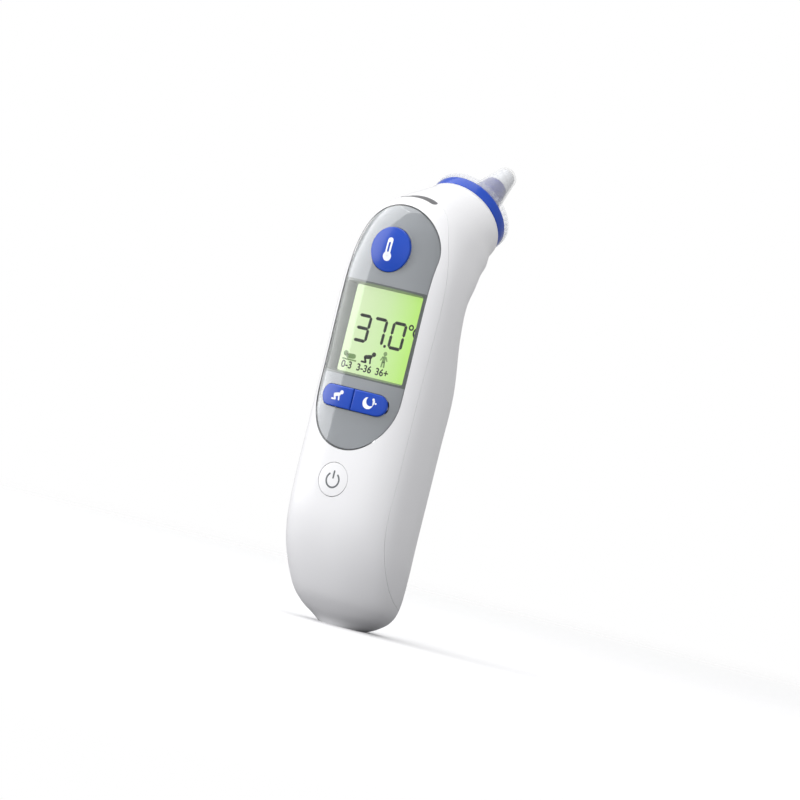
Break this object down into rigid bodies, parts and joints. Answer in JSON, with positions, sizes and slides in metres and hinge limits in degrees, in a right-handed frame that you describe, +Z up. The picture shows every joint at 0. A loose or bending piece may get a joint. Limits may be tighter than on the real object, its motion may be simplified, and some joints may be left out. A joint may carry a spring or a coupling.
{
  "type": "digital ear thermometer",
  "caption": "Hand-held ear thermometer with a tilted probe head, backlit display, sprung buttons, removable probe cap and rear battery door.",
  "frame": {"origin": "centre of the small flat foot under the handle", "axes": "+Z up the handle, the face with display and buttons looks along -Y, +X to the right of a user who reads the face from behind it, probe points to +Y and +Z"},
  "size_m": [0.0396, 0.0593, 0.1532],
  "materials": {
    "white_shell": "gloss white moulding",
    "clear_lens": "clear gloss",
    "silver_frame": "silver-grey print under a gloss lens",
    "lcd": "lit display",
    "light_guide": "milky",
    "dark_plastic": "fine matt",
    "blue_plastic": "gloss blue moulding",
    "dark_blue_plastic": "gloss dark blue",
    "circuit_board": "solder resist",
    "spring_steel": "bright wire and plate",
    "probe_white": "satin off-white",
    "gold_tube": "gold plated",
    "sensor_metal": "drawn metal can",
    "flex_film": "amber film",
    "clear_filter": "clear moulded film",
    "tray_plastic": "fine spark texture",
    "cell_wrap": "printed sleeve"
  },
  "bodies": {
    "housing": {"front_shell": "white_shell", "rear_shell": "white_shell", "display_lens": "clear_lens", "display_bezel": "silver_frame", "lcd_panel": "lcd", "lcd_backlight": "light_guide", "status_light": "dark_plastic", "key_switches": "dark_plastic", "main_board": "circuit_board", "board_chips": "dark_plastic", "buzzer": "dark_plastic", "ejector_spring": "spring_steel", "probe_base": "probe_white", "probe_collar": "dark_blue_plastic", "probe_nozzle": "probe_white", "sensor_tube": "gold_tube", "sensor_can": "sensor_metal", "sensor_flex": "flex_film", "battery_tray": "tray_plastic", "battery_left": "cell_wrap", "battery_right": "cell_wrap", "battery_springs": "spring_steel", "battery_plates": "spring_steel", "housing_screws": "spring_steel"},
    "start_key": {"start_button": "blue_plastic"},
    "age_key": {"age_button": "blue_plastic"},
    "night_key": {"night_button": "blue_plastic"},
    "power_key": {"power_button": "white_shell"},
    "ejector": {"ejector_ring": "blue_plastic"},
    "filter": {"lens_filter": "clear_filter"},
    "door": {"battery_door": "white_shell"}
  },
  "joints": [
    {"name": "start_press", "type": "slide", "parent": "housing", "child": "start_key", "axis": [0, 1, 0], "range_m": [0, 0.0006], "stiffness_N_per_m": 1500, "springref_m": -0.0003},
    {"name": "age_press", "type": "slide", "parent": "housing", "child": "age_key", "axis": [0, 1, 0], "range_m": [0, 0.0006], "stiffness_N_per_m": 1500, "springref_m": -0.0003},
    {"name": "night_press", "type": "slide", "parent": "housing", "child": "night_key", "axis": [0, 1, 0], "range_m": [0, 0.0006], "stiffness_N_per_m": 1500, "springref_m": -0.0003},
    {"name": "power_press", "type": "slide", "parent": "housing", "child": "power_key", "axis": [0, 1, 0], "range_m": [0, 0.0006], "stiffness_N_per_m": 1500, "springref_m": -0.0003},
    {"name": "filter_eject", "type": "slide", "parent": "housing", "child": "ejector", "axis": [0, 0.749, 0.6626], "range_m": [0, 0.0024], "stiffness_N_per_m": 400, "springref_m": -0.001, "deforming": ["ejector_spring"]},
    {"name": "filter_pull", "type": "slide", "parent": "ejector", "child": "filter", "axis": [0, 0.749, 0.6626], "range_m": [0, 0.03]},
    {"name": "door_lift", "type": "slide", "parent": "housing", "child": "door", "axis": [0, 1, 0], "range_m": [0, 0.018]}
  ]
}
